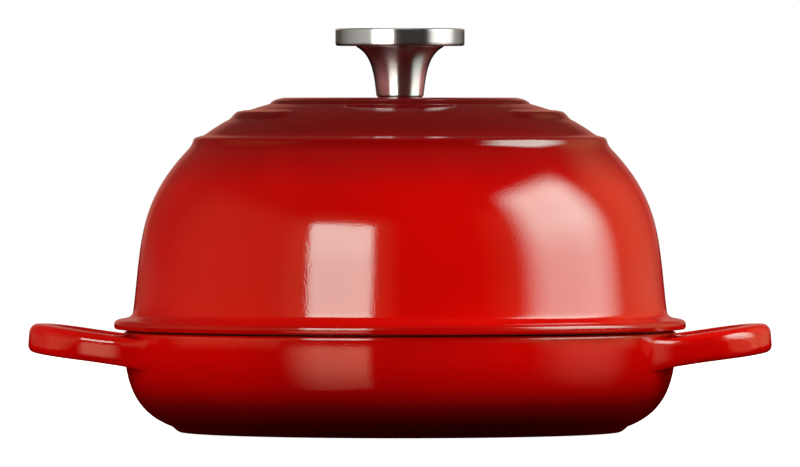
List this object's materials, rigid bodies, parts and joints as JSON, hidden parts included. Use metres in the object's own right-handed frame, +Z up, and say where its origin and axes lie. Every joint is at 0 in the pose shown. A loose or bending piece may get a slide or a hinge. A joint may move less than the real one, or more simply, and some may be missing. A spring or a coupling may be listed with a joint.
{
  "type": "bread cloche",
  "caption": "Enamelled cast-iron bread cloche: a shallow round pan with two loop handles under a tall domed lid with a flanged foot, a stepped crown and a steel trumpet knob.",
  "frame": {"origin": "centre of the pan's round foot, on the surface it stands on", "axes": "+Z up along the axis of the pan and the lid, +X towards one loop handle, -Y towards the viewer of the picture"},
  "size_m": [0.321, 0.247, 0.1743],
  "materials": {
    "red_enamel_pan": "gloss vitreous enamel, bright red at the rim shading to near-black red at the foot, satin black inside",
    "red_enamel_lid": "gloss vitreous enamel, bright red on the dome shading to maroon on the crown, satin black inside",
    "knob_steel": "polished stainless steel, turned",
    "insert_brass": "plain turned brass",
    "fastener_steel": "plain stainless steel"
  },
  "bodies": {
    "pan": {"base_pan": "red_enamel_pan"},
    "lid": {"lid_dome": "red_enamel_lid", "knob_stem": "knob_steel", "knob_cap": "knob_steel", "knob_insert": "insert_brass", "flat_washer": "fastener_steel", "spring_washer": "fastener_steel", "knob_screw": "fastener_steel"}
  },
  "joints": [
    {"name": "lid_lift", "type": "slide", "parent": "pan", "child": "lid", "axis": [0, 0, 1], "range_m": [0, 0.2]}
  ]
}
